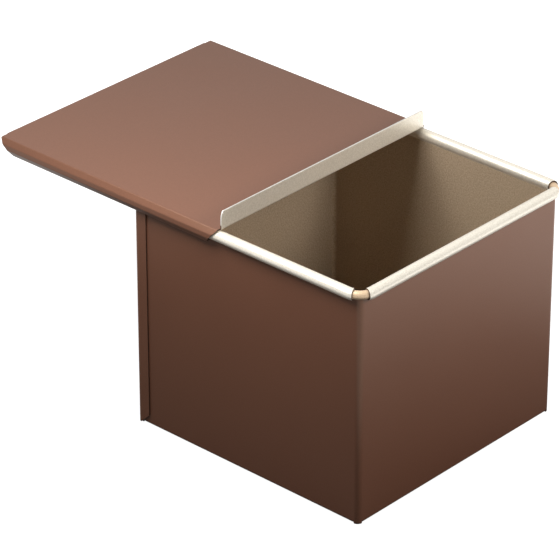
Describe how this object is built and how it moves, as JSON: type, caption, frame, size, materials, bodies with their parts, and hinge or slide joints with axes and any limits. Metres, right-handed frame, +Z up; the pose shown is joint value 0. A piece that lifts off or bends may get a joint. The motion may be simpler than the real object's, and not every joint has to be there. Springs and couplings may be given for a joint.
{
  "type": "pullman loaf pan",
  "caption": "Small square loaf pan of coated sheet with a wired, rolled rim and a flat lid that slides along the rim in rolled channels.",
  "frame": {"origin": "middle of the base's underside, on the table", "axes": "+Z up; +X towards the end wall that the lid shuts against, so the lid opens towards -X; +Y across the lid's travel"},
  "size_m": [0.1652, 0.1071, 0.0953],
  "materials": {
    "outer_coat": "satin chocolate-brown non-stick coat on steel sheet, champagne-gold on the side that faces the bread",
    "inner_coat": "satin champagne-gold non-stick coat on steel sheet",
    "rim_wire": "bright copper-washed steel wire"
  },
  "bodies": {
    "pan": {"wall_band": "outer_coat", "base_plate": "inner_coat", "rim_wire": "rim_wire"},
    "lid": {"sliding_lid": "outer_coat"}
  },
  "joints": [
    {"name": "lid_slide", "type": "slide", "parent": "pan", "child": "lid", "axis": [1, 0, 0], "range_m": [-0.05, 0.059]}
  ]
}
